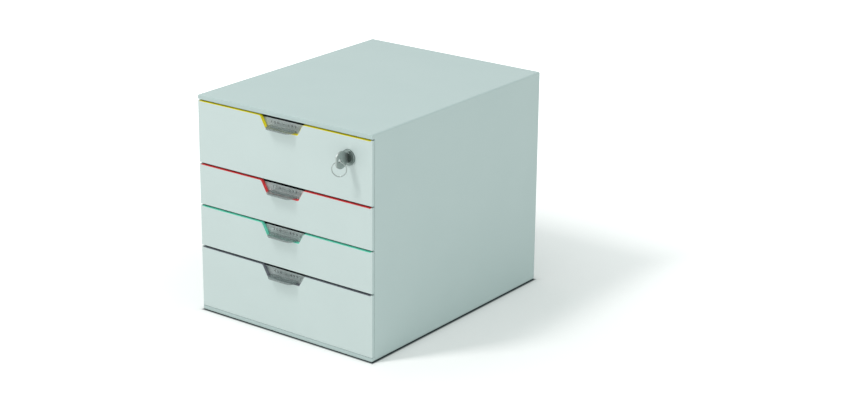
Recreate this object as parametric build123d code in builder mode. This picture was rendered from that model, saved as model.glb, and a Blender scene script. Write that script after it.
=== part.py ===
"""Desktop drawer box: a moulded casing with four drawers of two heights.

Millimetres. X runs to the right, Y to the back and Z up. The origin is on the table,
under the middle of the whole object, counting the key that stands out of the lock.
"""
import os
from math import cos, radians, sin, tan

from build123d import *

os.makedirs("parts", exist_ok=True)

# ---------------------------------------------------------------- driving sizes
width = 280.0
depth = 356.0
height = 292.0
key_reach = 24.0

# Casing
wall = 3.0
casing_radius = 2.2
lip_radius = 0.8
top_lip = 5.8
bottom_lip = 5.2
lip_depth = 8.0
side_setback_gap = 0.5

# Rubber feet, set in round pockets of the casing's underside
foot_proud = 1.0
foot_radius = 7.0
foot_pocket = 1.2
foot_inset = 22.0
foot_clearance = 0.2

# Drawers, from the top one down, in units of height
drawer_units = [3, 2, 2, 3]
travel = 250.0

# Drawer fronts
front_thickness = 4.0
front_bottom_gap = 0.5
front_top_gap = 1.8
front_edge_radius = 1.0
edge_band = 1.0
edge_band_front = 0.25
edge_band_inset = 2.6

# Notch in the top edge of each front, a little left of the middle
notch_x = -1.5
notch_half = 25.4
notch_depth = 14.75
notch_slant = radians(30)
notch_top_radius = 4.5
notch_floor_radius = 1.6

# Trays
tray_wall = 1.8
tray_front_wall = 3.2
tray_floor = 2.0
tray_corner = 8.0
tray_floor_radius = 3.0
tray_lift = 2.0
tray_back_gap = 10.0
rim_drop = 9.0
flange_thickness = 2.0
flange_clearance = 0.4

# Runners moulded on the casing's side walls
runner_width = 5.0
runner_thickness = 2.0
runner_brace = 4.0
runner_gap = 0.6
runner_front_inset = 4.0
hold_down_width = 3.5
hold_down_thickness = 2.5
hold_down_gap = 0.5
stop_lug_length = 6.0
stop_lug_width = 2.2
stop_clearance = 0.5

# Clear pull handle with its label window
plate_thickness = 1.2
plate_overlap = 3.0
plate_top_drop = 2.45
plate_clearance = 0.3
tongue_reach = 10.4
tongue_thickness = 2.2
tongue_rise = 1.1
tongue_root_half = 21.5
tongue_tip_half = 18.5
tongue_corner = 7.0
tongue_root_radius = 1.0
card_thickness = 0.4
card_overlap = 1.5
card_top_drop = 3.05
backing_top_drop = 3.8

# Lock in the top front
lock_x = 104.0
lock_below_top = 26.8
rosette_radius = 10.0
rosette_thickness = 2.0
barrel_radius = 8.0
barrel_flat = 7.0
barrel_clearance = 0.2
barrel_tail = 1.0
plug_radius = 5.9
plug_clearance = 0.3
plug_proud = 0.3
plug_tail = 2.0
nut_across_flats = 21.0
nut_thickness = 3.5
cam_thickness = 2.0
cam_length = 27.0
cam_hub_radius = 7.5
cam_tip_radius = 5.0
cam_square = 6.0
cam_square_clearance = 0.15
cam_gap = 0.6
screw_radius = 1.6
screw_length = 5.5
screw_head_radius = 4.0
screw_head_thickness = 2.2
screw_clearance = 0.1
strike_half = 10.0
strike_thickness = 3.0
strike_gap = 1.5

# Key and its ring
blade_thickness = 1.8
blade_height = 7.4
blade_length = 12.5
slot_clearance = 0.3
bow_thickness = 2.0
bow_radius = 11.0
bow_flat = 1.1
stem_height = 9.0
bitting_depth = 1.6
bitting_count = 4
ring_hole_radius = 2.5
ring_hole_reach = 18.0
ring_radius = 9.0
ring_wire_radius = 0.6
ring_gap = 0.3
ring_turn = radians(25)

# ---------------------------------------------------------------- derived places
front_y = (key_reach - depth) / 2
back_y = front_y + depth
inner = width / 2 - wall
front_back_y = front_y + front_thickness
side_front_y = front_back_y + side_setback_gap
lip_back_y = front_y + lip_depth
mouth_low = foot_proud + bottom_lip
mouth_high = height - top_lip
unit = (mouth_high - mouth_low) / sum(drawer_units)

tray_half = inner - runner_width - runner_gap
tray_back_y = back_y - wall - tray_back_gap
tray_inside_y = front_back_y + tray_front_wall
flange_half = inner - flange_clearance
runner_front_y = side_front_y + runner_front_inset
stop_lug_y = tray_back_y - tray_corner - stop_lug_length
hold_down_back_y = stop_lug_y - travel - stop_clearance

barrel_back_y = tray_inside_y + nut_thickness + barrel_tail
cam_front_y = barrel_back_y + plug_tail
cam_back_y = cam_front_y + cam_thickness
plug_front_y = front_y - rosette_thickness - plug_proud
strike_back_y = cam_front_y - cam_gap
lock_z = mouth_high - front_top_gap - lock_below_top
notch_low_step = (1 - sin(notch_slant)) / cos(notch_slant)


def front_plane(y):
    """Upright plane at y. Its x is X, its y is Z, and it faces the front."""
    return Plane.XZ.offset(-y)


def block(x, y, z, mode=Mode.ADD):
    """A box given by its low and high ends along each axis."""
    with Locations(((x[0] + x[1]) / 2, (y[0] + y[1]) / 2, (z[0] + z[1]) / 2)):
        Box(x[1] - x[0], y[1] - y[0], z[1] - z[0], mode=mode)


def outward(side, near, far):
    """Low and high x of a stretch that starts near the middle and ends far from it."""
    return tuple(sorted((side * near, side * far)))


def finish(piece, name):
    """Names a finished piece and writes it to its own file."""
    piece.part.label = name
    export_step(piece.part, f"parts/{name}.step")


def slots():
    """Number, low and high z of the space of each drawer, from the top one down."""
    high = mouth_high
    for number, units in enumerate(drawer_units, start=1):
        low = high - units * unit
        yield number, low, high
        high = low


def notch_corners(top, drop):
    """Corners of a front's top edge at its notch, left to right, lowered by drop."""
    low_half = notch_half + drop * notch_low_step
    high_half = low_half + notch_depth * tan(notch_slant)
    left = [(notch_x - high_half, top - drop), (notch_x - low_half, top - drop - notch_depth)]
    return left + [(2 * notch_x - x, z) for x, z in reversed(left)]


def notch_radii(drop):
    """Roundings that go with notch_corners."""
    return [notch_top_radius - drop, notch_floor_radius + drop] + [
        notch_floor_radius + drop,
        notch_top_radius - drop,
    ]


def window(low, high, floor, overlap):
    """Corners of a trapezoid behind the notch, overlap wider than it on each slant."""
    halves = [notch_half + overlap + (z - floor) * tan(notch_slant) for z in (low, high)]
    left = [(notch_x - half, z) for half, z in zip(halves, (low, high))]
    return left[::-1] + [(2 * notch_x - x, z) for x, z in left]


# ---------------------------------------------------------------- casing and feet
foot_places = [
    (side_x * (width / 2 - foot_inset), y)
    for side_x in (-1, 1)
    for y in (front_y + foot_inset, back_y - foot_inset)
]

with BuildPart() as casing:
    block((-width / 2, width / 2), (front_y, back_y), (foot_proud, height))
    fillet(casing.edges().filter_by(Axis.Y), casing_radius)
    fillet(casing.faces().sort_by(Axis.Y)[-1].edges(), casing_radius)
    fillet(casing.faces().sort_by(Axis.Y)[0].edges(), lip_radius)
    # The side walls stand back, so that the drawer fronts cover their front edges.
    block(
        (-width / 2, width / 2), (front_y, side_front_y), (mouth_low, mouth_high), Mode.SUBTRACT
    )
    block((-inner, inner), (side_front_y, lip_back_y), (mouth_low, mouth_high), Mode.SUBTRACT)
    block(
        (-inner, inner),
        (lip_back_y, back_y - wall),
        (foot_proud + wall, height - wall),
        Mode.SUBTRACT,
    )
    for number, low, high in slots():
        rim = high - rim_drop
        ledge = rim - flange_thickness
        for side in (-1, 1):
            # Ledge under the tray's flange, and a shorter rib over it. The ledge is
            # braced by its sloping underside. The rib keeps the open drawer level,
            # and its back end stops the drawer.
            with BuildSketch(front_plane(back_y - wall)):
                with BuildLine():
                    Polyline(
                        (side * inner, ledge),
                        (side * (inner - runner_width), ledge),
                        (side * (inner - runner_width), ledge - runner_thickness),
                        (side * inner, ledge - runner_thickness - runner_brace),
                        close=True,
                    )
                make_face()
            extrude(amount=back_y - wall - runner_front_y)
            block(
                outward(side, inner - hold_down_width, inner),
                (runner_front_y, hold_down_back_y),
                (rim + hold_down_gap, rim + hold_down_gap + hold_down_thickness),
            )
    # Tab that hangs from the roof: the lock's cam turns up behind it.
    block(
        (lock_x - strike_half, lock_x + strike_half),
        (strike_back_y - strike_thickness, strike_back_y),
        (mouth_high - rim_drop + strike_gap, height - wall),
    )
    with BuildSketch(Plane.XY.offset(foot_proud)):
        with Locations(foot_places):
            Circle(foot_radius + foot_clearance)
    extrude(amount=foot_pocket, mode=Mode.SUBTRACT)
finish(casing, "casing")

for index, (x, y) in enumerate(foot_places, start=1):
    with BuildPart() as foot:
        with BuildSketch():
            with Locations((x, y)):
                Circle(foot_radius)
        extrude(amount=foot_proud + foot_pocket)
        chamfer(foot.faces().sort_by(Axis.Z)[0].edges(), foot_proud / 2)
    finish(foot, f"foot_{index}")


# ---------------------------------------------------------------- drawers
def barrel_outline(grow):
    """Round lock barrel with two flats that stop it turning, grown by a clearance."""
    with Locations((lock_x, lock_z)):
        Circle(barrel_radius + grow)
        Rectangle(2 * (barrel_flat + grow), 4 * barrel_radius, mode=Mode.INTERSECT)


def make_front(number, low, top):
    """Front panel with its notch, and a rebate along the top edge for the edge band."""
    band_half = width / 2 - edge_band_inset
    ends = [(-width / 2, low), (-width / 2, top), (-band_half, top), (-band_half, top - edge_band)]
    outline = ends + notch_corners(top, edge_band) + [(-x, z) for x, z in reversed(ends)]
    radii = [0] * len(ends) + notch_radii(edge_band) + [0] * len(ends)
    with BuildPart() as front:
        with BuildSketch(front_plane(front_back_y)):
            with BuildLine():
                FilletPolyline(outline, radius=radii, close=True)
            make_face()
        extrude(amount=front_thickness)
        face = front.faces().sort_by(Axis.Y)[0]
        sides = face.edges().filter_by(Axis.Z).group_by(Axis.X)
        fillet(sides[0] + sides[-1], front_edge_radius)
        if number == 1:
            with BuildSketch(front_plane(front_back_y)):
                barrel_outline(barrel_clearance)
            extrude(amount=front_thickness, mode=Mode.SUBTRACT)
    finish(front, f"drawer_{number}_front")


def make_edge_band(number, top):
    """Coloured band along the top edge, down the notch's slants and over its floor.

    It lies on the front like a wedge: almost nothing at the face, full height at the
    back. So its colour shows from above and from inside the notch, and not on the face.
    """
    band_half = width / 2 - edge_band_inset
    lower = [(-band_half, top - edge_band)] + notch_corners(top, edge_band)
    lower += [(band_half, top - edge_band)]
    with BuildPart() as band:
        for y, drop in ((front_back_y, 0), (front_y, edge_band - edge_band_front)):
            upper = [(-band_half, top - drop)] + notch_corners(top, drop) + [(band_half, top - drop)]
            radii = [0] + notch_radii(edge_band) + [0, 0] + notch_radii(drop) + [0]
            with BuildSketch(front_plane(y)):
                with BuildLine():
                    FilletPolyline(lower + upper[::-1], radius=radii, close=True)
                make_face()
        loft(ruled=True)
    finish(band, f"drawer_{number}_edge_band")


def make_tray(number, low, high, top):
    """Open tray that hangs by its side flanges, with a seat for the label window."""
    rim = high - rim_drop
    base = low + tray_lift
    floor = top - notch_depth
    middle = (front_back_y + tray_back_y) / 2
    length = tray_back_y - front_back_y
    with BuildPart() as tray:
        with BuildSketch(Plane.XY.offset(base)):
            with Locations((0, middle)):
                RectangleRounded(2 * tray_half, length, tray_corner)
        extrude(amount=rim - base)
        chamfer(tray.faces().sort_by(Axis.Z)[0].edges(), tray_floor_radius / 2)
        with BuildSketch(Plane.XY.offset(base + tray_floor)):
            with Locations((0, (tray_inside_y + tray_back_y - tray_wall) / 2)):
                RectangleRounded(
                    2 * (tray_half - tray_wall),
                    tray_back_y - tray_wall - tray_inside_y,
                    tray_corner - tray_wall,
                )
        hollow = extrude(amount=rim - base - tray_floor, mode=Mode.PRIVATE)
        add(fillet_floor(hollow), mode=Mode.SUBTRACT)
        # Raised tab of the front wall that backs the label card.
        with BuildSketch(front_plane(tray_inside_y)):
            with BuildLine():
                tab = window(rim - flange_thickness, top - backing_top_drop, floor, plate_overlap)
                Polyline(tab, close=True)
            make_face()
        extrude(amount=tray_front_wall)
        for side in (-1, 1):
            block(
                outward(side, tray_half - tray_wall, flange_half),
                (runner_front_y, tray_back_y - tray_corner),
                (rim - flange_thickness, rim),
            )
            # Stop lug: upright in front, where it meets the rib, with a ramp behind it
            # that lets the drawer be pushed in past the rib.
            lug_top = rim + hold_down_gap + hold_down_thickness - stop_clearance
            with BuildSketch(Plane.YZ.offset(side * (flange_half - stop_lug_width / 2))):
                with BuildLine():
                    Polyline(
                        (stop_lug_y, rim),
                        (stop_lug_y, lug_top),
                        (stop_lug_y + stop_lug_length / 3, lug_top),
                        (stop_lug_y + stop_lug_length, rim),
                        close=True,
                    )
                make_face()
            extrude(amount=stop_lug_width / 2, both=True)
        # Seat for the window plate and the card, cut into the wall from the front.
        with BuildSketch(front_plane(front_back_y + plate_thickness + card_thickness)):
            with BuildLine():
                seat = window(
                    floor - plate_overlap - plate_clearance, top, floor, plate_overlap + plate_clearance
                )
                Polyline(seat, close=True)
            make_face()
        extrude(amount=plate_thickness + card_thickness, mode=Mode.SUBTRACT)
        if number == 1:
            with BuildSketch(front_plane(tray_inside_y)):
                barrel_outline(barrel_clearance)
            extrude(amount=tray_front_wall, mode=Mode.SUBTRACT)
    finish(tray, f"drawer_{number}_tray")


def fillet_floor(hollow):
    """Rounds the edges round the bottom of a tray's hollow."""
    edges = hollow.faces().sort_by(Axis.Z)[0].edges()
    return hollow.solids()[0].fillet(tray_floor_radius, edges)


def make_handle(number, top):
    """Clear window plate behind the notch, with a tongue that comes out over its floor."""
    floor = top - notch_depth
    tongue_low = floor + tongue_rise
    tip_y = front_y - tongue_reach
    with BuildPart() as handle:
        with BuildSketch(front_plane(front_back_y + plate_thickness)):
            with BuildLine():
                plate = window(floor - plate_overlap, top - plate_top_drop, floor, plate_overlap)
                Polyline(plate, close=True)
            make_face()
        extrude(amount=plate_thickness)
        with BuildSketch(Plane.XY.offset(tongue_low)):
            with BuildLine():
                FilletPolyline(
                    (notch_x - tongue_root_half, front_back_y),
                    (notch_x - tongue_root_half, front_y),
                    (notch_x - tongue_tip_half, tip_y),
                    (notch_x + tongue_tip_half, tip_y),
                    (notch_x + tongue_root_half, front_y),
                    (notch_x + tongue_root_half, front_back_y),
                    radius=[0, 0, tongue_corner, tongue_corner, 0, 0],
                    close=True,
                )
            make_face()
        extrude(amount=tongue_thickness)
        # Rounded corner where the tongue's upper side meets the plate.
        root = (notch_x, front_back_y, tongue_low + tongue_thickness)
        fillet(handle.edges().filter_by(Axis.X).sort_by_distance(root)[0], tongue_root_radius)
        rims = handle.edges().filter_by(lambda edge: edge.center().Y < front_y - tongue_reach / 3)
        fillet(rims.filter_by(Plane.XY), tongue_thickness / 4)
    finish(handle, f"drawer_{number}_handle")


def make_card(number, top):
    """Paper card in the pocket behind the window plate."""
    floor = top - notch_depth
    with BuildPart() as card:
        with BuildSketch(front_plane(front_back_y + plate_thickness + card_thickness)):
            with BuildLine():
                card_low = floor - card_overlap
                Polyline(window(card_low, top - card_top_drop, floor, card_overlap), close=True)
            make_face()
        extrude(amount=card_thickness)
    finish(card, f"drawer_{number}_label_card")


for number, low, high in slots():
    top = high - front_top_gap
    make_front(number, low + front_bottom_gap, top)
    make_edge_band(number, top)
    make_tray(number, low, high, top)
    make_handle(number, top)
    make_card(number, top)

# ---------------------------------------------------------------- lock
with BuildPart() as lock_housing:
    with BuildSketch(front_plane(barrel_back_y)):
        barrel_outline(0)
    extrude(amount=barrel_back_y - front_y)
    with BuildSketch(front_plane(front_y)):
        with Locations((lock_x, lock_z)):
            Circle(rosette_radius)
    extrude(amount=rosette_thickness)
    fillet(lock_housing.faces().sort_by(Axis.Y)[0].edges(), rosette_thickness / 2)
    with BuildSketch(front_plane(barrel_back_y)):
        with Locations((lock_x, lock_z)):
            Circle(plug_radius + plug_clearance)
    extrude(amount=barrel_back_y - front_y + rosette_thickness, mode=Mode.SUBTRACT)
finish(lock_housing, "lock_housing")

with BuildPart() as lock_nut:
    with BuildSketch(front_plane(tray_inside_y + nut_thickness)):
        with Locations((lock_x, lock_z)):
            RegularPolygon(nut_across_flats / 2, 6, major_radius=False)
            Circle(barrel_radius + barrel_clearance, mode=Mode.SUBTRACT)
    extrude(amount=nut_thickness)
finish(lock_nut, "lock_nut")

with BuildPart() as lock_plug:
    with BuildSketch(front_plane(cam_front_y)):
        with Locations((lock_x, lock_z)):
            Circle(plug_radius)
    extrude(amount=cam_front_y - plug_front_y)
    chamfer(lock_plug.faces().sort_by(Axis.Y)[0].edges(), plug_proud)
    with BuildSketch(front_plane(cam_back_y)):
        with Locations((lock_x, lock_z)):
            Rectangle(cam_square, cam_square)
    extrude(amount=cam_thickness)
    with BuildSketch(front_plane(plug_front_y)):
        with Locations((lock_x, lock_z)):
            Rectangle(blade_thickness + 2 * slot_clearance, blade_height + 2 * slot_clearance)
    extrude(amount=-(blade_length + slot_clearance + plug_proud), mode=Mode.SUBTRACT)
    with BuildSketch(front_plane(cam_back_y)):
        with Locations((lock_x, lock_z)):
            Circle(screw_radius + screw_clearance)
    extrude(amount=screw_length + screw_clearance, mode=Mode.SUBTRACT)
finish(lock_plug, "lock_plug")

with BuildPart() as lock_cam:
    with BuildSketch(front_plane(cam_back_y)):
        with Locations((lock_x, lock_z)):
            Circle(cam_hub_radius)
        with Locations((lock_x - cam_length + cam_tip_radius, lock_z)):
            Circle(cam_tip_radius)
        make_hull()
        with Locations((lock_x, lock_z)):
            Rectangle(
                cam_square + 2 * cam_square_clearance,
                cam_square + 2 * cam_square_clearance,
                mode=Mode.SUBTRACT,
            )
    extrude(amount=cam_thickness)
finish(lock_cam, "lock_cam")

with BuildPart() as cam_screw:
    with BuildSketch(front_plane(cam_back_y + screw_head_thickness)):
        with Locations((lock_x, lock_z)):
            Circle(screw_head_radius)
    extrude(amount=screw_head_thickness)
    chamfer(cam_screw.faces().sort_by(Axis.Y)[-1].edges(), screw_head_thickness / 3)
    with BuildSketch(front_plane(cam_back_y)):
        with Locations((lock_x, lock_z)):
            Circle(screw_radius)
    extrude(amount=screw_length)
finish(cam_screw, "cam_screw")

# ---------------------------------------------------------------- key and ring
key_plane = Plane.YZ.offset(lock_x)
bow_tip_y = front_y - key_reach
bow_y = bow_tip_y + bow_radius - bow_flat
blade_back_y = plug_front_y + blade_length
ring_hole_y = front_y - ring_hole_reach

with BuildPart() as key:
    with BuildSketch(key_plane):
        with Locations((bow_y, lock_z)):
            Circle(bow_radius)
        with Locations((bow_tip_y - bow_radius, lock_z)):
            Rectangle(2 * bow_radius, 3 * bow_radius, mode=Mode.SUBTRACT)
        with Locations(((bow_y + plug_front_y - slot_clearance) / 2, lock_z)):
            Rectangle(plug_front_y - slot_clearance - bow_y, stem_height)
        with Locations((ring_hole_y, lock_z)):
            Circle(ring_hole_radius, mode=Mode.SUBTRACT)
    extrude(amount=bow_thickness / 2, both=True)
    bow_rims = key.edges().filter_by(Plane.YZ).filter_by(GeomType.CIRCLE).sort_by(SortBy.LENGTH)
    fillet(bow_rims[-2:], bow_thickness / 5)
    with BuildSketch(key_plane):
        with Locations(((bow_y - bow_radius / 2 + blade_back_y) / 2 + bow_radius / 2, lock_z)):
            Rectangle(blade_back_y - bow_y - bow_radius / 2, blade_height)
        pitch = blade_length / (bitting_count + 1)
        for cut in range(bitting_count):
            y = plug_front_y + (cut + 1) * pitch
            with BuildLine():
                Polyline(
                    (y - pitch / 2, lock_z - blade_height / 2),
                    (y, lock_z - blade_height / 2 + bitting_depth * (0.5 + 0.5 * (cut % 2))),
                    (y + pitch / 2, lock_z - blade_height / 2),
                    close=True,
                )
            make_face(mode=Mode.SUBTRACT)
    extrude(amount=blade_thickness / 2, both=True)
finish(key, "key")

ring_top = lock_z - ring_hole_radius + ring_gap + ring_wire_radius
ring_plane = Plane(
    origin=(lock_x, ring_hole_y, ring_top - ring_radius),
    x_dir=(0, 0, 1),
    z_dir=(sin(ring_turn), -cos(ring_turn), 0),
)
with BuildPart(ring_plane) as key_ring:
    Torus(ring_radius, ring_wire_radius)
finish(key_ring, "key_ring")
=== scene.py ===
# %% [markdown]
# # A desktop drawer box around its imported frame
# The real object is a moulded casing with four drawers. Each drawer has a coloured edge, a clear
# pull handle with a paper label behind it, and the top one has a lock with its key.
# The construction is already there as a frame of rigid nodes at their real size. This file gives
# every node a finish, adds what is too fine for construction (printed digits, a split ring), and
# sets the camera and the lights. Everything is in metres, with Z up and the drawers facing -Y.

# %% Load the frame
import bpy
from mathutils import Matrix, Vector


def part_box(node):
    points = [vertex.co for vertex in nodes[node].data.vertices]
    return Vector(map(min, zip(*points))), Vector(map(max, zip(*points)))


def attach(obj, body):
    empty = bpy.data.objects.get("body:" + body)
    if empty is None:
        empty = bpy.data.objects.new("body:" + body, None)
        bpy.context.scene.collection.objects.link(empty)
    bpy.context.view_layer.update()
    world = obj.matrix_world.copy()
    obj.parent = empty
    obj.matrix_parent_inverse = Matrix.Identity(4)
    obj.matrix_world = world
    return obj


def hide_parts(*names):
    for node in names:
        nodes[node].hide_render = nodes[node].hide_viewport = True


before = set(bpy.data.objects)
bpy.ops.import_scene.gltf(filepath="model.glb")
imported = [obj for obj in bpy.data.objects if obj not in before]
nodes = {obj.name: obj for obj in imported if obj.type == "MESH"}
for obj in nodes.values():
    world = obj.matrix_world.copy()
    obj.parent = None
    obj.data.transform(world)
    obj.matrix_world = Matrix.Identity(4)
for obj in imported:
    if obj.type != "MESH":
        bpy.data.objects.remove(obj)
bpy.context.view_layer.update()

# %% Libraries and units
from math import cos, pi, radians, sin

import bpy
import numpy as np
from mathutils import Matrix, Vector

MM = 0.001
DRAWERS = (1, 2, 3, 4)

# %% [markdown]
# ## Colour and node helpers
# A screen colour is written as an sRGB hex code, because that is what an eye-dropper gives, but a
# shader wants linear light. One function does that change for the whole file. A second small
# function adds a shader node with its settings and links, so that each material below reads from
# its coordinates to its output like a recipe.

# %% Colour helper
def srgb(code):
    """Linear RGBA of an sRGB hex code: a channel c becomes ((c + 0.055) / 1.055) to the power 2.4,
    and a dark one, up to 0.04045, becomes c / 12.92."""
    channels = np.array([int(code[i:i + 2], 16) for i in (1, 3, 5)]) / 255
    linear = np.where(channels > 0.04045, ((channels + 0.055) / 1.055) ** 2.4, channels / 12.92)
    return (*linear, 1.0)


print("mid grey in linear light", round(float(srgb("#808080")[0]), 3))


# %% Node helper
def add(tree, kind, inputs=None, **settings):
    """Adds one node. settings are its own options; inputs are values, or sockets to link."""
    node = tree.nodes.new(kind)
    for name, value in settings.items():
        setattr(node, name, value)
    for name, value in (inputs or {}).items():
        if isinstance(value, bpy.types.NodeSocket):
            tree.links.new(value, node.inputs[name])
        else:
            node.inputs[name].default_value = value
    return node


def empty_material(name):
    """A material with no nodes but its Object coordinates, which are metres on the piece itself."""
    material = bpy.data.materials.new(name)
    material.use_nodes = True
    tree = material.node_tree
    tree.nodes.clear()
    return material, tree, add(tree, "ShaderNodeTexCoord").outputs["Object"]


def blobs(size_mm):
    """Scale of a noise whose blobs are size_mm across: how many of them fit in a metre."""
    return 1 / (size_mm * MM)


print("noise scale of 1 mm blobs", round(blobs(1)))

# %% [markdown]
# ## Moulded ABS
# The casing, fronts and trays are ABS, injection moulded in tools whose faces were spark eroded.
# That leaves a fine even grain which spreads the highlight, so the finish is satin and never
# shiny. The dye goes right through, with only a trace of cloudiness. A picture of plastic would
# bring its own light and its own edges, so two noises with sizes in millimetres make the finish
# instead: a broad one blends two hex codes that are about one percent apart, and a fine one gives
# the grain and lets the gloss vary a little with it.
# The fronts' faces are paler than the casing. Their narrow sides get the casing's grey as painted
# shade, so no pale strip stands out beside the casing's wall in its shade.

# %% Moulded ABS
CASING_GREY = ("#B7C8C6", "#BBCBC9")
FRONT_WHITE = ("#CAD6D4", "#CEDAD8")
TRAY_GREY = ("#BECDCC", "#C4D2D1")
CLOUD_MM = 60
GLOSS_SPREAD = 0.05
SIDE_FROM, SIDE_TO = 0.35 * MM, 0.05 * MM


def moulded_abs(name, dyes, roughness, grain_mm, grain_depth_mm, side_shade_dyes=None):
    """ABS has an index of 1.54. The real grain is 0.2 mm. It is drawn coarser, at grain_mm, so that
    it still shows in a picture with about one pixel per millimetre. The last argument is painted
    shade: darker dyes for the left and right sides of a front, which fade in as |x| goes from
    SIDE_FROM to SIDE_TO short of its half width."""
    material, tree, place = empty_material(name)
    cloud = {"Vector": place, "Scale": blobs(CLOUD_MM), "Detail": 1.0}
    cloud = add(tree, "ShaderNodeTexNoise", cloud).outputs[0]
    dye = {0: cloud, 6: srgb(dyes[0]), 7: srgb(dyes[1])}
    dye = add(tree, "ShaderNodeMix", dye, data_type="RGBA")
    # Painted shade: the left and right sides of a front turn to a darker grey.
    if side_shade_dyes:
        sides = {0: cloud, 6: srgb(side_shade_dyes[0]), 7: srgb(side_shade_dyes[1])}
        sides = add(tree, "ShaderNodeMix", sides, data_type="RGBA")
        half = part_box("drawer_1_front")[1][0]
        across = add(tree, "ShaderNodeSeparateXYZ", {0: place}).outputs["X"]
        across = add(tree, "ShaderNodeMath", {0: across}, operation="ABSOLUTE").outputs[0]
        past = {"Value": across, "From Min": half - SIDE_FROM, "From Max": half - SIDE_TO}
        past = add(tree, "ShaderNodeMapRange", past).outputs[0]
        dye = {0: past, 6: dye.outputs[2], 7: sides.outputs[2]}
        dye = add(tree, "ShaderNodeMix", dye, data_type="RGBA")
    grain = {"Vector": place, "Scale": blobs(grain_mm), "Detail": 3.0}
    grain = add(tree, "ShaderNodeTexNoise", grain).outputs[0]
    gloss = {"To Min": roughness - GLOSS_SPREAD, "To Max": roughness + GLOSS_SPREAD}
    gloss = add(tree, "ShaderNodeMapRange", {"Value": grain, **gloss})
    bump = add(tree, "ShaderNodeBump", {"Height": grain, "Distance": grain_depth_mm * MM})
    shader = {"Base Color": dye.outputs[2], "Roughness": gloss.outputs[0], "IOR": 1.54}
    shader = add(tree, "ShaderNodeBsdfPrincipled", {**shader, "Normal": bump.outputs[0]})
    add(tree, "ShaderNodeOutputMaterial", {"Surface": shader.outputs[0]})
    return material


CASING_ABS = moulded_abs(
    "moulded_abs_grey", CASING_GREY, roughness=0.46, grain_mm=1.1, grain_depth_mm=0.03
)
FRONT_ABS = moulded_abs(
    "moulded_abs_pale_face",
    FRONT_WHITE,
    roughness=0.42,
    grain_mm=0.9,
    grain_depth_mm=0.02,
    side_shade_dyes=CASING_GREY,
)
TRAY_ABS = moulded_abs(
    "moulded_abs_tray_grey", TRAY_GREY, roughness=0.38, grain_mm=1.4, grain_depth_mm=0.02
)
print("ABS finishes", CASING_ABS.name, FRONT_ABS.name, TRAY_ABS.name)

# %% [markdown]
# ## Coloured edge bands
# Each front carries a thin band of dyed ABS along its top edge and round its notch. It comes from a
# polished tool, so it is smoother than the fronts, more saturated, and has a sharper highlight. It
# is the same plastic, so the same function makes it with other numbers.

# %% Dyed bands
BAND_DYES = {
    1: ("dyed_abs_yellow", "#F4E110", "#F9E71C"),
    2: ("dyed_abs_red", "#E63E40", "#EC4648"),
    3: ("dyed_abs_teal", "#70E0C2", "#78E6C9"),
    4: ("dyed_abs_graphite", "#6E7179", "#767981"),
}
BAND_ABS = {
    n: moulded_abs(name, dyes, roughness=0.3, grain_mm=1.6, grain_depth_mm=0.008)
    for n, (name, *dyes) in BAND_DYES.items()
}
print("bands", [m.name for m in BAND_ABS.values()])

# %% [markdown]
# ## Smoky clear acrylic
# The handle is one thin piece of moulded acrylic with a smoky dye. Real glass shading would keep
# the lamps off the card behind it, because light that is bent on its way is hardly ever found. So
# the piece is shaded as thin plastic: each of its faces lets most light straight through, mirrors a
# little, more at a low angle, and adds some grey of its own. The Fresnel node turns a face seen
# from inside into a full mirror, so the mirror part follows Schlick's rule, m + (1 - m) (1 - cos)
# to the power 5. Bare acrylic has m = 0.04. Here it is about double, matched to the pale sheen of
# the real windows.
# The window plate is thin and lies on the card, so it stays clear. The tongue is thicker and stands
# free: its grey grows from where it leaves the plate, and with how steeply it is seen, as a longer
# way through dye does.

# %% Smoky clear acrylic
PLATE_THICK = 1.2 * MM
FACE_MIRROR = 0.09
POLISH = 0.12
FLOW_MM = 8
FLOW_DEPTH = 0.05 * MM
TONGUE_SMOKE, TONGUE_SMOKE_AT_RIM = 0.35, 0.70
RAMP_FROM, RAMP_TO = 0.15, 0.65
ROOT_FADE = 1.0 * MM


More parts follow.
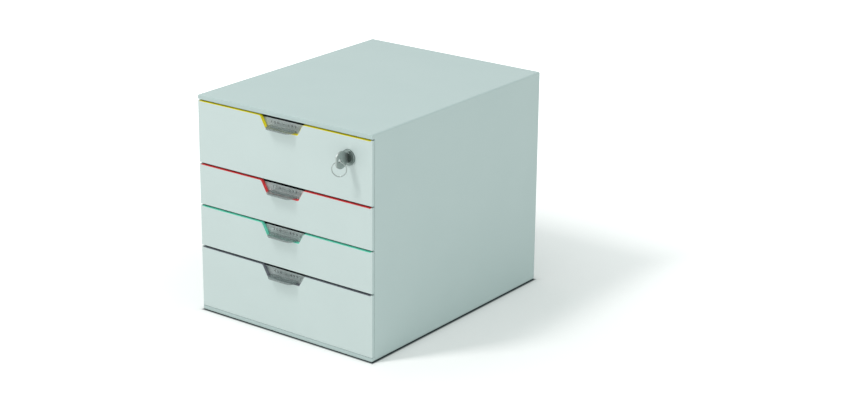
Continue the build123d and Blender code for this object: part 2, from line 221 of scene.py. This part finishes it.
def smoky_acrylic():
    """Acrylic has an index of 1.49. Smoke: how far a point lies in front of the plate, as 0 to 1
    over ROOT_FADE, times a ramp of how steeply the face is seen. A slow ripple of FLOW_MM is the
    plastic's flow in its mould."""
    material, tree, place = empty_material("moulded_acrylic_smoky_clear")
    flow = {"Vector": place, "Scale": blobs(FLOW_MM), "Detail": 1.0}
    flow = add(tree, "ShaderNodeTexNoise", flow).outputs[0]
    dye = {0: flow, 6: srgb("#687573"), 7: srgb("#768483")}
    dye = add(tree, "ShaderNodeMix", dye, data_type="RGBA")
    bump = add(tree, "ShaderNodeBump", {"Height": flow, "Distance": FLOW_DEPTH})
    ripple = bump.outputs[0]
    body = {"Base Color": dye.outputs[2], "Roughness": POLISH, "IOR": 1.49, "Normal": ripple}
    body = add(tree, "ShaderNodeBsdfPrincipled", body)
    clear = add(tree, "ShaderNodeBsdfTransparent", {"Color": srgb("#FFFFFF")})
    shine = add(tree, "ShaderNodeBsdfAnisotropic", {"Roughness": POLISH, "Normal": ripple})
    low_angle = add(tree, "ShaderNodeLayerWeight", {"Blend": 0.5}).outputs["Facing"]
    bounce = add(tree, "ShaderNodeMath", {0: low_angle, 1: 5.0}, operation="POWER").outputs[0]
    mirror = {0: bounce, 1: 1 - FACE_MIRROR, 2: FACE_MIRROR}
    mirror = add(tree, "ShaderNodeMath", mirror, operation="MULTIPLY_ADD")
    pane = {0: mirror.outputs[0], 1: clear.outputs[0], 2: shine.outputs[0]}
    pane = add(tree, "ShaderNodeMixShader", pane)
    tilt = add(tree, "ShaderNodeLayerWeight", {"Blend": 0.3}).outputs["Facing"]
    steep = {"Value": tilt, "From Min": RAMP_FROM, "From Max": RAMP_TO}
    steep = {**steep, "To Min": TONGUE_SMOKE, "To Max": TONGUE_SMOKE_AT_RIM}
    steep = add(tree, "ShaderNodeMapRange", steep)
    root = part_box("drawer_1_handle")[1][1] - PLATE_THICK
    depth = add(tree, "ShaderNodeSeparateXYZ", {0: place}).outputs["Y"]
    free = {"Value": depth, "From Min": root, "From Max": root - ROOT_FADE}
    free = add(tree, "ShaderNodeMapRange", free)
    smoke = {0: free.outputs[0], 1: steep.outputs[0]}
    smoke = add(tree, "ShaderNodeMath", smoke, operation="MULTIPLY")
    thin = {0: smoke.outputs[0], 1: pane.outputs[0], 2: body.outputs[0]}
    thin = add(tree, "ShaderNodeMixShader", thin)
    add(tree, "ShaderNodeOutputMaterial", {"Surface": thin.outputs[0]})
    return material


ACRYLIC = smoky_acrylic()
print("handles", ACRYLIC.name)

# %% [markdown]
# ## Paper card and its printing
# The card is uncoated board. Pressed fibres give it a soft mottled look: one noise makes a faint
# cloud in its colour and a finer one the tooth of its surface. The digits are printed in grey ink,
# which sinks in and stays matt, and is thinner where the tooth was high. Both could share one
# material with a mask, but the digits are their own mesh, so each gets its own short recipe.

# %% Card and ink
PULP_MM = 3
FIBRE_MM = 0.8
FIBRE_DEPTH = 0.03 * MM
INK_MM = 0.5


def uncoated_card():
    """Matt paper with an index of 1.5, no gloss, and fibres about FIBRE_MM long."""
    material, tree, place = empty_material("uncoated_paper_card")
    cloud = {"Vector": place, "Scale": blobs(PULP_MM), "Detail": 4.0}
    cloud = add(tree, "ShaderNodeTexNoise", cloud).outputs[0]
    pulp = {0: cloud, 6: srgb("#E6F5F3"), 7: srgb("#F3FEFC")}
    pulp = add(tree, "ShaderNodeMix", pulp, data_type="RGBA")
    tooth = {"Vector": place, "Scale": blobs(FIBRE_MM), "Detail": 4.0}
    tooth = add(tree, "ShaderNodeTexNoise", tooth).outputs[0]
    bump = add(tree, "ShaderNodeBump", {"Height": tooth, "Distance": FIBRE_DEPTH})
    paper = {"Base Color": pulp.outputs[2], "Roughness": 0.85, "IOR": 1.5}
    paper = add(tree, "ShaderNodeBsdfPrincipled", {**paper, "Normal": bump.outputs[0]})
    add(tree, "ShaderNodeOutputMaterial", {"Surface": paper.outputs[0]})
    return material


def printed_ink():
    """Grey ink: two greys blended by a noise of INK_MM, as the film breaks up on the paper."""
    material, tree, place = empty_material("printed_grey_ink")
    tooth = {"Vector": place, "Scale": blobs(INK_MM), "Detail": 2.0}
    tooth = add(tree, "ShaderNodeTexNoise", tooth).outputs[0]
    film = {0: tooth, 6: srgb("#3C474B"), 7: srgb("#5F6A6E")}
    film = add(tree, "ShaderNodeMix", film, data_type="RGBA")
    film = add(tree, "ShaderNodeBsdfPrincipled", {"Base Color": film.outputs[2], "Roughness": 0.7})
    add(tree, "ShaderNodeOutputMaterial", {"Surface": film.outputs[0]})
    return material


CARD = uncoated_card()
INK = printed_ink()
print("label finishes", CARD.name, INK.name)

# %% [markdown]
# ## Plated metals
# The lock's rosette and plug are die-cast zinc, nickel plated. The rosette gets a lighter nickel
# than the plug: partly a darker plate on the plug, partly a painted highlight for the bright rim
# round the lock. The nut, cam and screw are zinc-plated steel. The key is stamped from steel strip
# and plated: rolling left long fine lines in one direction, so its noise is squeezed along one
# axis.
# The plate is a little duller in some places than in others, and the same noise drives its colour,
# its gloss and its relief.

# %% Plated metals
DULL_SPREAD = 0.08
LINE_DEPTH = 0.01 * MM


def plated_metal(name, low, high, roughness, line_mm, stretch=1):
    """Metal whose fine lines are line_mm apart and stretch times as long, along the Z axis."""
    material, tree, place = empty_material(name)
    squeezed = add(tree, "ShaderNodeMapping", {"Vector": place, "Scale": (1, 1, 1 / stretch)})
    lines = {"Vector": squeezed.outputs[0], "Scale": blobs(line_mm), "Detail": 2.0}
    lines = add(tree, "ShaderNodeTexNoise", lines).outputs[0]
    plate = add(tree, "ShaderNodeMix", {0: lines, 6: srgb(low), 7: srgb(high)}, data_type="RGBA")
    gloss = {"Value": lines, "To Min": roughness - DULL_SPREAD, "To Max": roughness + DULL_SPREAD}
    gloss = add(tree, "ShaderNodeMapRange", gloss)
    bump = add(tree, "ShaderNodeBump", {"Height": lines, "Distance": LINE_DEPTH})
    metal = {"Base Color": plate.outputs[2], "Metallic": 1.0, "Roughness": gloss.outputs[0]}
    metal = add(tree, "ShaderNodeBsdfPrincipled", {**metal, "Normal": bump.outputs[0]})
    add(tree, "ShaderNodeOutputMaterial", {"Surface": metal.outputs[0]})
    return material


# The rosette's lighter nickel is partly a painted highlight for the bright rim round the lock.
NICKEL_RIM_HIGHLIT = plated_metal("nickel_plated_zinc_rosette", "#6A7673", "#828E8B", 0.30, line_mm=2.0)
NICKEL_DARK = plated_metal("nickel_plated_zinc_dark", "#434B48", "#565F5C", 0.34, line_mm=2.0)
ZINC = plated_metal("zinc_plated_steel", "#A6AEAC", "#BCC3C1", 0.35, line_mm=1.5)
KEY_STEEL = plated_metal(
    "nickel_plated_key_steel", "#9AA4A1", "#B1BAB7", 0.42, line_mm=0.5, stretch=8
)
RING_WIRE = plated_metal("hard_drawn_ring_wire", "#8A9491", "#9EA7A4", 0.28, line_mm=0.6)
print("metals", NICKEL_RIM_HIGHLIT.name, NICKEL_DARK.name, ZINC.name, KEY_STEEL.name, RING_WIRE.name)

# %% [markdown]
# ## Foot rubber
# The feet are soft black rubber from a blasted mould. Fine dust clings to rubber, which lifts its
# black to a very dark grey and keeps it matt, so its noise blends two near blacks.

# %% Foot rubber
DUST_MM = 2
BLAST_MM = 0.5
BLAST_DEPTH = 0.05 * MM


def foot_rubber():
    """Rubber with an index of 1.52, blotches of dust and a blasted tooth, DUST_MM and BLAST_MM
    across."""
    material, tree, place = empty_material("moulded_rubber_black")
    dust = {"Vector": place, "Scale": blobs(DUST_MM), "Detail": 3.0}
    dust = add(tree, "ShaderNodeTexNoise", dust).outputs[0]
    skin = {0: dust, 6: srgb("#18191A"), 7: srgb("#27282A")}
    skin = add(tree, "ShaderNodeMix", skin, data_type="RGBA")
    tooth = {"Vector": place, "Scale": blobs(BLAST_MM), "Detail": 2.0}
    tooth = add(tree, "ShaderNodeTexNoise", tooth).outputs[0]
    bump = add(tree, "ShaderNodeBump", {"Height": tooth, "Distance": BLAST_DEPTH})
    foot = {"Base Color": skin.outputs[2], "Roughness": 0.8, "IOR": 1.52}
    foot = add(tree, "ShaderNodeBsdfPrincipled", {**foot, "Normal": bump.outputs[0]})
    add(tree, "ShaderNodeOutputMaterial", {"Surface": foot.outputs[0]})
    return material


RUBBER = foot_rubber()
print("finishes made:", len(bpy.data.materials))

# %% [markdown]
# ## Dress the frame
# A node keeps its mesh and its place. Only its material slot changes. The table below is the bill
# of materials: which finish each named node gets.

# %% Give every node its finish
finish_of = {"casing": CASING_ABS, "lock_housing": NICKEL_RIM_HIGHLIT, "lock_plug": NICKEL_DARK}
finish_of.update({name: ZINC for name in ("lock_nut", "lock_cam", "cam_screw")})
finish_of.update({"key": KEY_STEEL, "key_ring": RING_WIRE})
finish_of.update({f"foot_{i}": RUBBER for i in (1, 2, 3, 4)})
for n in DRAWERS:
    finish_of[f"drawer_{n}_front"] = FRONT_ABS
    finish_of[f"drawer_{n}_edge_band"] = BAND_ABS[n]
    finish_of[f"drawer_{n}_tray"] = TRAY_ABS
    finish_of[f"drawer_{n}_handle"] = ACRYLIC
    finish_of[f"drawer_{n}_label_card"] = CARD
for name, node in nodes.items():
    node.data.materials.clear()
    node.data.materials.append(finish_of[name])
print("nodes dressed:", len(nodes))

# %% [markdown]
# ## Printed digits on the cards
# Each card carries one short line of plain numbers. A font curve gives clean outlines, and it is
# made a mesh before it is put in place, so that its object can stay at the origin.

# %% Digits
LABELS = {1: "100 - 199", 2: "200 - 299", 3: "300 - 399", 4: "400 - 499"}
DIGIT_HEIGHT = 3.0 * MM
LABEL_WIDTH = 40 * MM
LABEL_DROP = 4.0 * MM
INK_STANDOFF = 0.05 * MM
LETTER_SPACING = 1.5


def printed_line(number, text):
    """One line of digits on the drawer's card, centred, LABEL_WIDTH wide and DIGIT_HEIGHT tall."""
    curve = bpy.data.curves.new("digits", "FONT")
    curve.body = text
    curve.space_character = LETTER_SPACING
    holder = bpy.data.objects.new("digits", curve)
    mesh = bpy.data.meshes.new_from_object(holder)
    flat = np.empty(len(mesh.vertices) * 3)
    mesh.vertices.foreach_get("co", flat)
    flat = flat.reshape(-1, 3)
    low, high = flat.min(axis=0), flat.max(axis=0)
    card_low, card_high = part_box(f"drawer_{number}_label_card")
    middle_x = (card_low[0] + card_high[0]) / 2
    middle_z = card_high[2] - LABEL_DROP
    x = (flat[:, 0] - (low[0] + high[0]) / 2) / (high[0] - low[0]) * LABEL_WIDTH + middle_x
    z = (flat[:, 1] - (low[1] + high[1]) / 2) / (high[1] - low[1]) * DIGIT_HEIGHT + middle_z
    y = np.full_like(x, card_low[1] - INK_STANDOFF)
    mesh.vertices.foreach_set("co", np.stack([x, y, z], axis=1).ravel())
    mesh.update()
    piece = bpy.data.objects.new(f"label_{number}_digits", mesh)
    bpy.context.scene.collection.objects.link(piece)
    piece.data.materials.append(INK)
    bpy.data.objects.remove(holder)
    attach(piece, f"drawer_{number}")
    return piece


for n, text in LABELS.items():
    print("printed", text, "on", printed_line(n, text).name)

# %% [markdown]
# ## Split ring
# A key ring is two turns of flat spring wire, side by side. It is a profile carried along a path:
# the path is a helix of two turns, and the profile is a rounded flat section. Both are numpy
# arrays, and every point of the surface comes from one formula.

# %% Split ring
RING_TURNS = 2.0
WIRE_WIDE = 1.1 * MM
WIRE_THICK = 0.56 * MM
RING_PITCH = 0.6 * MM
RING_STEPS, WIRE_STEPS = 241, 16


def tube_mesh(name, points):
    """Closed tube of a grid of points, rows x columns x 3. Rows follow each other along the path,
    and the columns of a row go once round it. A face joins a point to the next one round and to
    both of their followers, and one flat face shuts each end."""
    rows, columns = points.shape[:2]
    r, c = np.meshgrid(np.arange(rows - 1), np.arange(columns), indexing="ij")
    here, after = r * columns, (r + 1) * columns
    nxt = (c + 1) % columns
    faces = np.stack([here + c, here + nxt, after + nxt, after + c], axis=-1)
    ends = [list(range(columns))[::-1], list(range((rows - 1) * columns, rows * columns))]
    mesh = bpy.data.meshes.new(name)
    mesh.from_pydata(points.reshape(-1, 3).tolist(), [], faces.reshape(-1, 4).tolist() + ends)
    mesh.update()
    piece = bpy.data.objects.new(name, mesh)
    bpy.context.scene.collection.objects.link(piece)
    return piece


def split_ring():
    """Helix: at angle a the wire's middle is R from the axis and pitch * a / 2 pi along it. The
    section is a superellipse, |x / w| ** 4 + |y / t| ** 4 = 1, so its corners are rounded."""
    low, high = (np.array(v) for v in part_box("key_ring"))
    centre = (low + high) / 2
    radius = (high[2] - low[2]) / 2 - WIRE_WIDE / 2
    turn = np.arctan2(high[1] - low[1], high[0] - low[0])
    normal = np.array([sin(turn), -cos(turn), 0.0])
    along = np.array([cos(turn), sin(turn), 0.0])
    up = np.array([0.0, 0.0, 1.0])
    a = np.linspace(0, RING_TURNS * 2 * pi, RING_STEPS)[:, None]
    b = np.linspace(0, 2 * pi, WIRE_STEPS, endpoint=False)[None, :]
    wide = np.sign(np.cos(b)) * np.abs(np.cos(b)) ** 0.5 * WIRE_WIDE / 2
    thick = np.sign(np.sin(b)) * np.abs(np.sin(b)) ** 0.5 * WIRE_THICK / 2
    out = radius + wide + 0 * a
    side = RING_PITCH * (a / (2 * pi) - RING_TURNS / 2) + thick
    spoke = np.cos(a)[..., None] * along + np.sin(a)[..., None] * up
    points = centre + out[..., None] * spoke + side[..., None] * normal
    return tube_mesh("split_ring", points)


ring = split_ring()
ring.data.materials.append(RING_WIRE)
ring.data.shade_smooth()
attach(ring, "key_ring")
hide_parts("key_ring")
print("split ring faces", len(ring.data.polygons))

# %% [markdown]
# ## Floor
# The picture's background is plain white and keeps only a soft shadow. The floor is a wide matt
# sheet. More lamps could make it white too, but they would bleach the object. So the floor glows a
# little, only for the camera and in reflections, and reads as white paper while the lamps stay at a
# level that suits the object. The glow grows with the distance, where the lamps fade, and is off
# under the box. There the sheet also carries a painted contact shadow: it is painted dark grey,
# with a soft edge of 3 mm, for the thin dark line of shade right under the casing.

# %% Floor
FLOOR_SIZE = 12.0
GLOW_NEAR, GLOW_FAR = 0.12, 0.60
GLOW_FROM, GLOW_TO = 0.25, 1.0
GLOW_EDGE = 12 * MM
CONTACT_SHADOW_EDGE = 3 * MM


def seen(tree):
    """1 for rays that come from the camera, a mirror or glass, and 0 for all others."""
    path = add(tree, "ShaderNodeLightPath")
    total = path.outputs["Is Camera Ray"]
    for name in ("Is Glossy Ray", "Is Transmission Ray"):
        either = {0: total, 1: path.outputs[name]}
        total = add(tree, "ShaderNodeMath", either, operation="MAXIMUM").outputs[0]
    return total


def paper_floor():
    """White matt paper with a painted contact shadow under the box, plus a glow that only seen rays
    pick up.
    """
    material, tree, place = empty_material("seamless_white_paper")
    reach = add(tree, "ShaderNodeVectorMath", {0: place}, operation="LENGTH").outputs["Value"]
    spread = {"From Min": GLOW_FROM, "From Max": GLOW_TO, "To Min": GLOW_NEAR, "To Max": GLOW_FAR}
    glow = add(tree, "ShaderNodeMapRange", {"Value": reach, **spread}).outputs[0]
    # How far a point lies outside the box's footprint: the larger of its two overhangs.
    (x0, y0, _), (x1, y1, _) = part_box("casing")
    middle, half = ((x0 + x1) / 2, (y0 + y1) / 2, 0), ((x1 - x0) / 2, (y1 - y0) / 2, 0)
    offset = add(tree, "ShaderNodeVectorMath", {0: place, 1: middle}, operation="SUBTRACT")
    outward = add(tree, "ShaderNodeVectorMath", {0: offset.outputs[0]}, operation="ABSOLUTE")
    overhang = {0: outward.outputs[0], 1: half}
    overhang = add(tree, "ShaderNodeVectorMath", overhang, operation="SUBTRACT")
    axes = add(tree, "ShaderNodeSeparateXYZ", {0: overhang.outputs[0]}).outputs
    far = add(tree, "ShaderNodeMath", {0: axes["X"], 1: axes["Y"]}, operation="MAXIMUM").outputs[0]
    clear = add(tree, "ShaderNodeMapRange", {"Value": far, "From Max": GLOW_EDGE}).outputs[0]
    near = add(tree, "ShaderNodeMapRange", {"Value": far, "From Max": CONTACT_SHADOW_EDGE}).outputs[0]
    # Painted contact shadow: dark grey paper under the box, fading to white within 3 mm outside it.
    sheet = {0: near, 6: srgb("#50585A"), 7: srgb("#FAF7F6")}
    sheet = add(tree, "ShaderNodeMix", sheet, data_type="RGBA")
    paper = add(tree, "ShaderNodeBsdfDiffuse", {"Color": sheet.outputs[2]})
    for factor in (clear, seen(tree)):
        glow = add(tree, "ShaderNodeMath", {0: glow, 1: factor}, operation="MULTIPLY").outputs[0]
    glow = add(tree, "ShaderNodeEmission", {"Color": (1, 1, 1, 1), "Strength": glow})
    both = add(tree, "ShaderNodeAddShader", {0: paper.outputs[0], 1: glow.outputs[0]})
    add(tree, "ShaderNodeOutputMaterial", {"Surface": both.outputs[0]})
    return material


edge = FLOOR_SIZE / 2
corners = [(-edge, -edge, 0), (edge, -edge, 0), (edge, edge, 0), (-edge, edge, 0)]
floor_mesh = bpy.data.meshes.new("floor")
floor_mesh.from_pydata(corners, [], [(0, 1, 2, 3)])
floor = bpy.data.objects.new("floor", floor_mesh)
bpy.context.scene.collection.objects.link(floor)
floor.data.materials.append(paper_floor())
print("floor", FLOOR_SIZE, "m")

# %% [markdown]
# ## Light
# The shadow on the floor tells where the main lamp stands. A line from the shadow of the near top
# corner back through that corner points up at 55 degrees, to the left and the front. The shadow's
# edge is fairly crisp, so that lamp is small, and taller than it is wide, because the far edge is
# softer. A weak low lamp at the right fills the side, and the world, which is even all round, gives
# most of the light.

# %% Lamps
AIM = Vector((0.0, 0.0, 0.15))


def soft_lamp(name, place, wide, tall, power):
    """Rectangular area lamp of wide by tall metres and power watts, which looks at AIM, the middle
    of the object."""
    lamp = bpy.data.lights.new(name, "AREA")
    lamp.shape = "RECTANGLE"
    lamp.size, lamp.size_y = wide, tall
    lamp.energy = power
    holder = bpy.data.objects.new(name, lamp)
    holder.location = place
    holder.rotation_euler = (AIM - Vector(place)).to_track_quat("-Z", "Y").to_euler()
    bpy.context.scene.collection.objects.link(holder)


soft_lamp("key_lamp", (-0.83, -1.57, 2.72), wide=0.42, tall=0.9, power=37)
soft_lamp("fill_lamp", (1.3, -0.3, 0.3), wide=0.55, tall=0.55, power=1.4)
print("lamps", [light.name for light in bpy.data.lights])

# %% [markdown]
# ## World
# The world stands for the white walls of a studio. It lights the object evenly from all sides, a
# little cooler than the lamps, as daylight is. Where the camera or a reflection looks straight at
# it, it is plain white, which gives the picture its background.

# %% World
WORLD_LEVEL = 0.76
world = bpy.data.worlds.new("studio")
bpy.context.scene.world = world
world.use_nodes = True
sky = world.node_tree
sky.nodes.clear()
lit = add(sky, "ShaderNodeBackground", {"Color": srgb("#E8F3F2"), "Strength": WORLD_LEVEL})
shown = add(sky, "ShaderNodeBackground", {"Color": (1, 1, 1, 1), "Strength": 1.0})
mix = add(sky, "ShaderNodeMixShader", {0: seen(sky), 1: lit.outputs[0], 2: shown.outputs[0]})
add(sky, "ShaderNodeOutputWorld", {"Surface": mix.outputs[0]})
print("world level", WORLD_LEVEL)

# %% [markdown]
# ## Camera
# The camera was solved from the casing's straight edges: its direction, its distance and the point
# where its axis meets the picture. It stands to the right and above, far away with a long lens, so
# the box shows little perspective. The axis is off the picture's middle, which a small lens shift
# gives.

# %% Camera
PICTURE_WIDE, PICTURE_TALL = 854, 410
VIEW_TURN = radians(-38.3404)
VIEW_DROP = radians(18.4879)
VIEW_DISTANCE = 2539.76 * MM
VIEW_TARGET = Vector((-8.995, 12.0, 165.685)) * MM
FOCAL_PIXELS = 1942.43
AXIS_X, AXIS_Y = 366.911, 174.567
SENSOR_WIDE = 36.0
NEAREST_SEEN = 50 * MM

# The camera's own axes: forward is tipped down by VIEW_DROP, and right stays level.
forward = Vector(
    (cos(VIEW_DROP) * sin(VIEW_TURN), cos(VIEW_DROP) * cos(VIEW_TURN), -sin(VIEW_DROP))
)
right = Vector((cos(VIEW_TURN), -sin(VIEW_TURN), 0))
upward = right.cross(forward)
camera_data = bpy.data.cameras.new("camera")
camera = bpy.data.objects.new("camera", camera_data)
bpy.context.scene.collection.objects.link(camera)
turn = Matrix((right, upward, -forward)).transposed().to_4x4()
camera.matrix_world = Matrix.Translation(VIEW_TARGET - forward * VIEW_DISTANCE) @ turn
camera_data.sensor_width = SENSOR_WIDE
camera_data.lens = FOCAL_PIXELS / PICTURE_WIDE * SENSOR_WIDE
camera_data.shift_x = (PICTURE_WIDE / 2 - AXIS_X) / PICTURE_WIDE
camera_data.shift_y = (AXIS_Y - PICTURE_TALL / 2) / PICTURE_WIDE
camera_data.clip_start = NEAREST_SEEN
bpy.context.scene.camera = camera
bpy.context.scene.view_settings.view_transform = "Standard"
print("lens", round(camera_data.lens, 2), "mm, shift", round(camera_data.shift_x, 4))
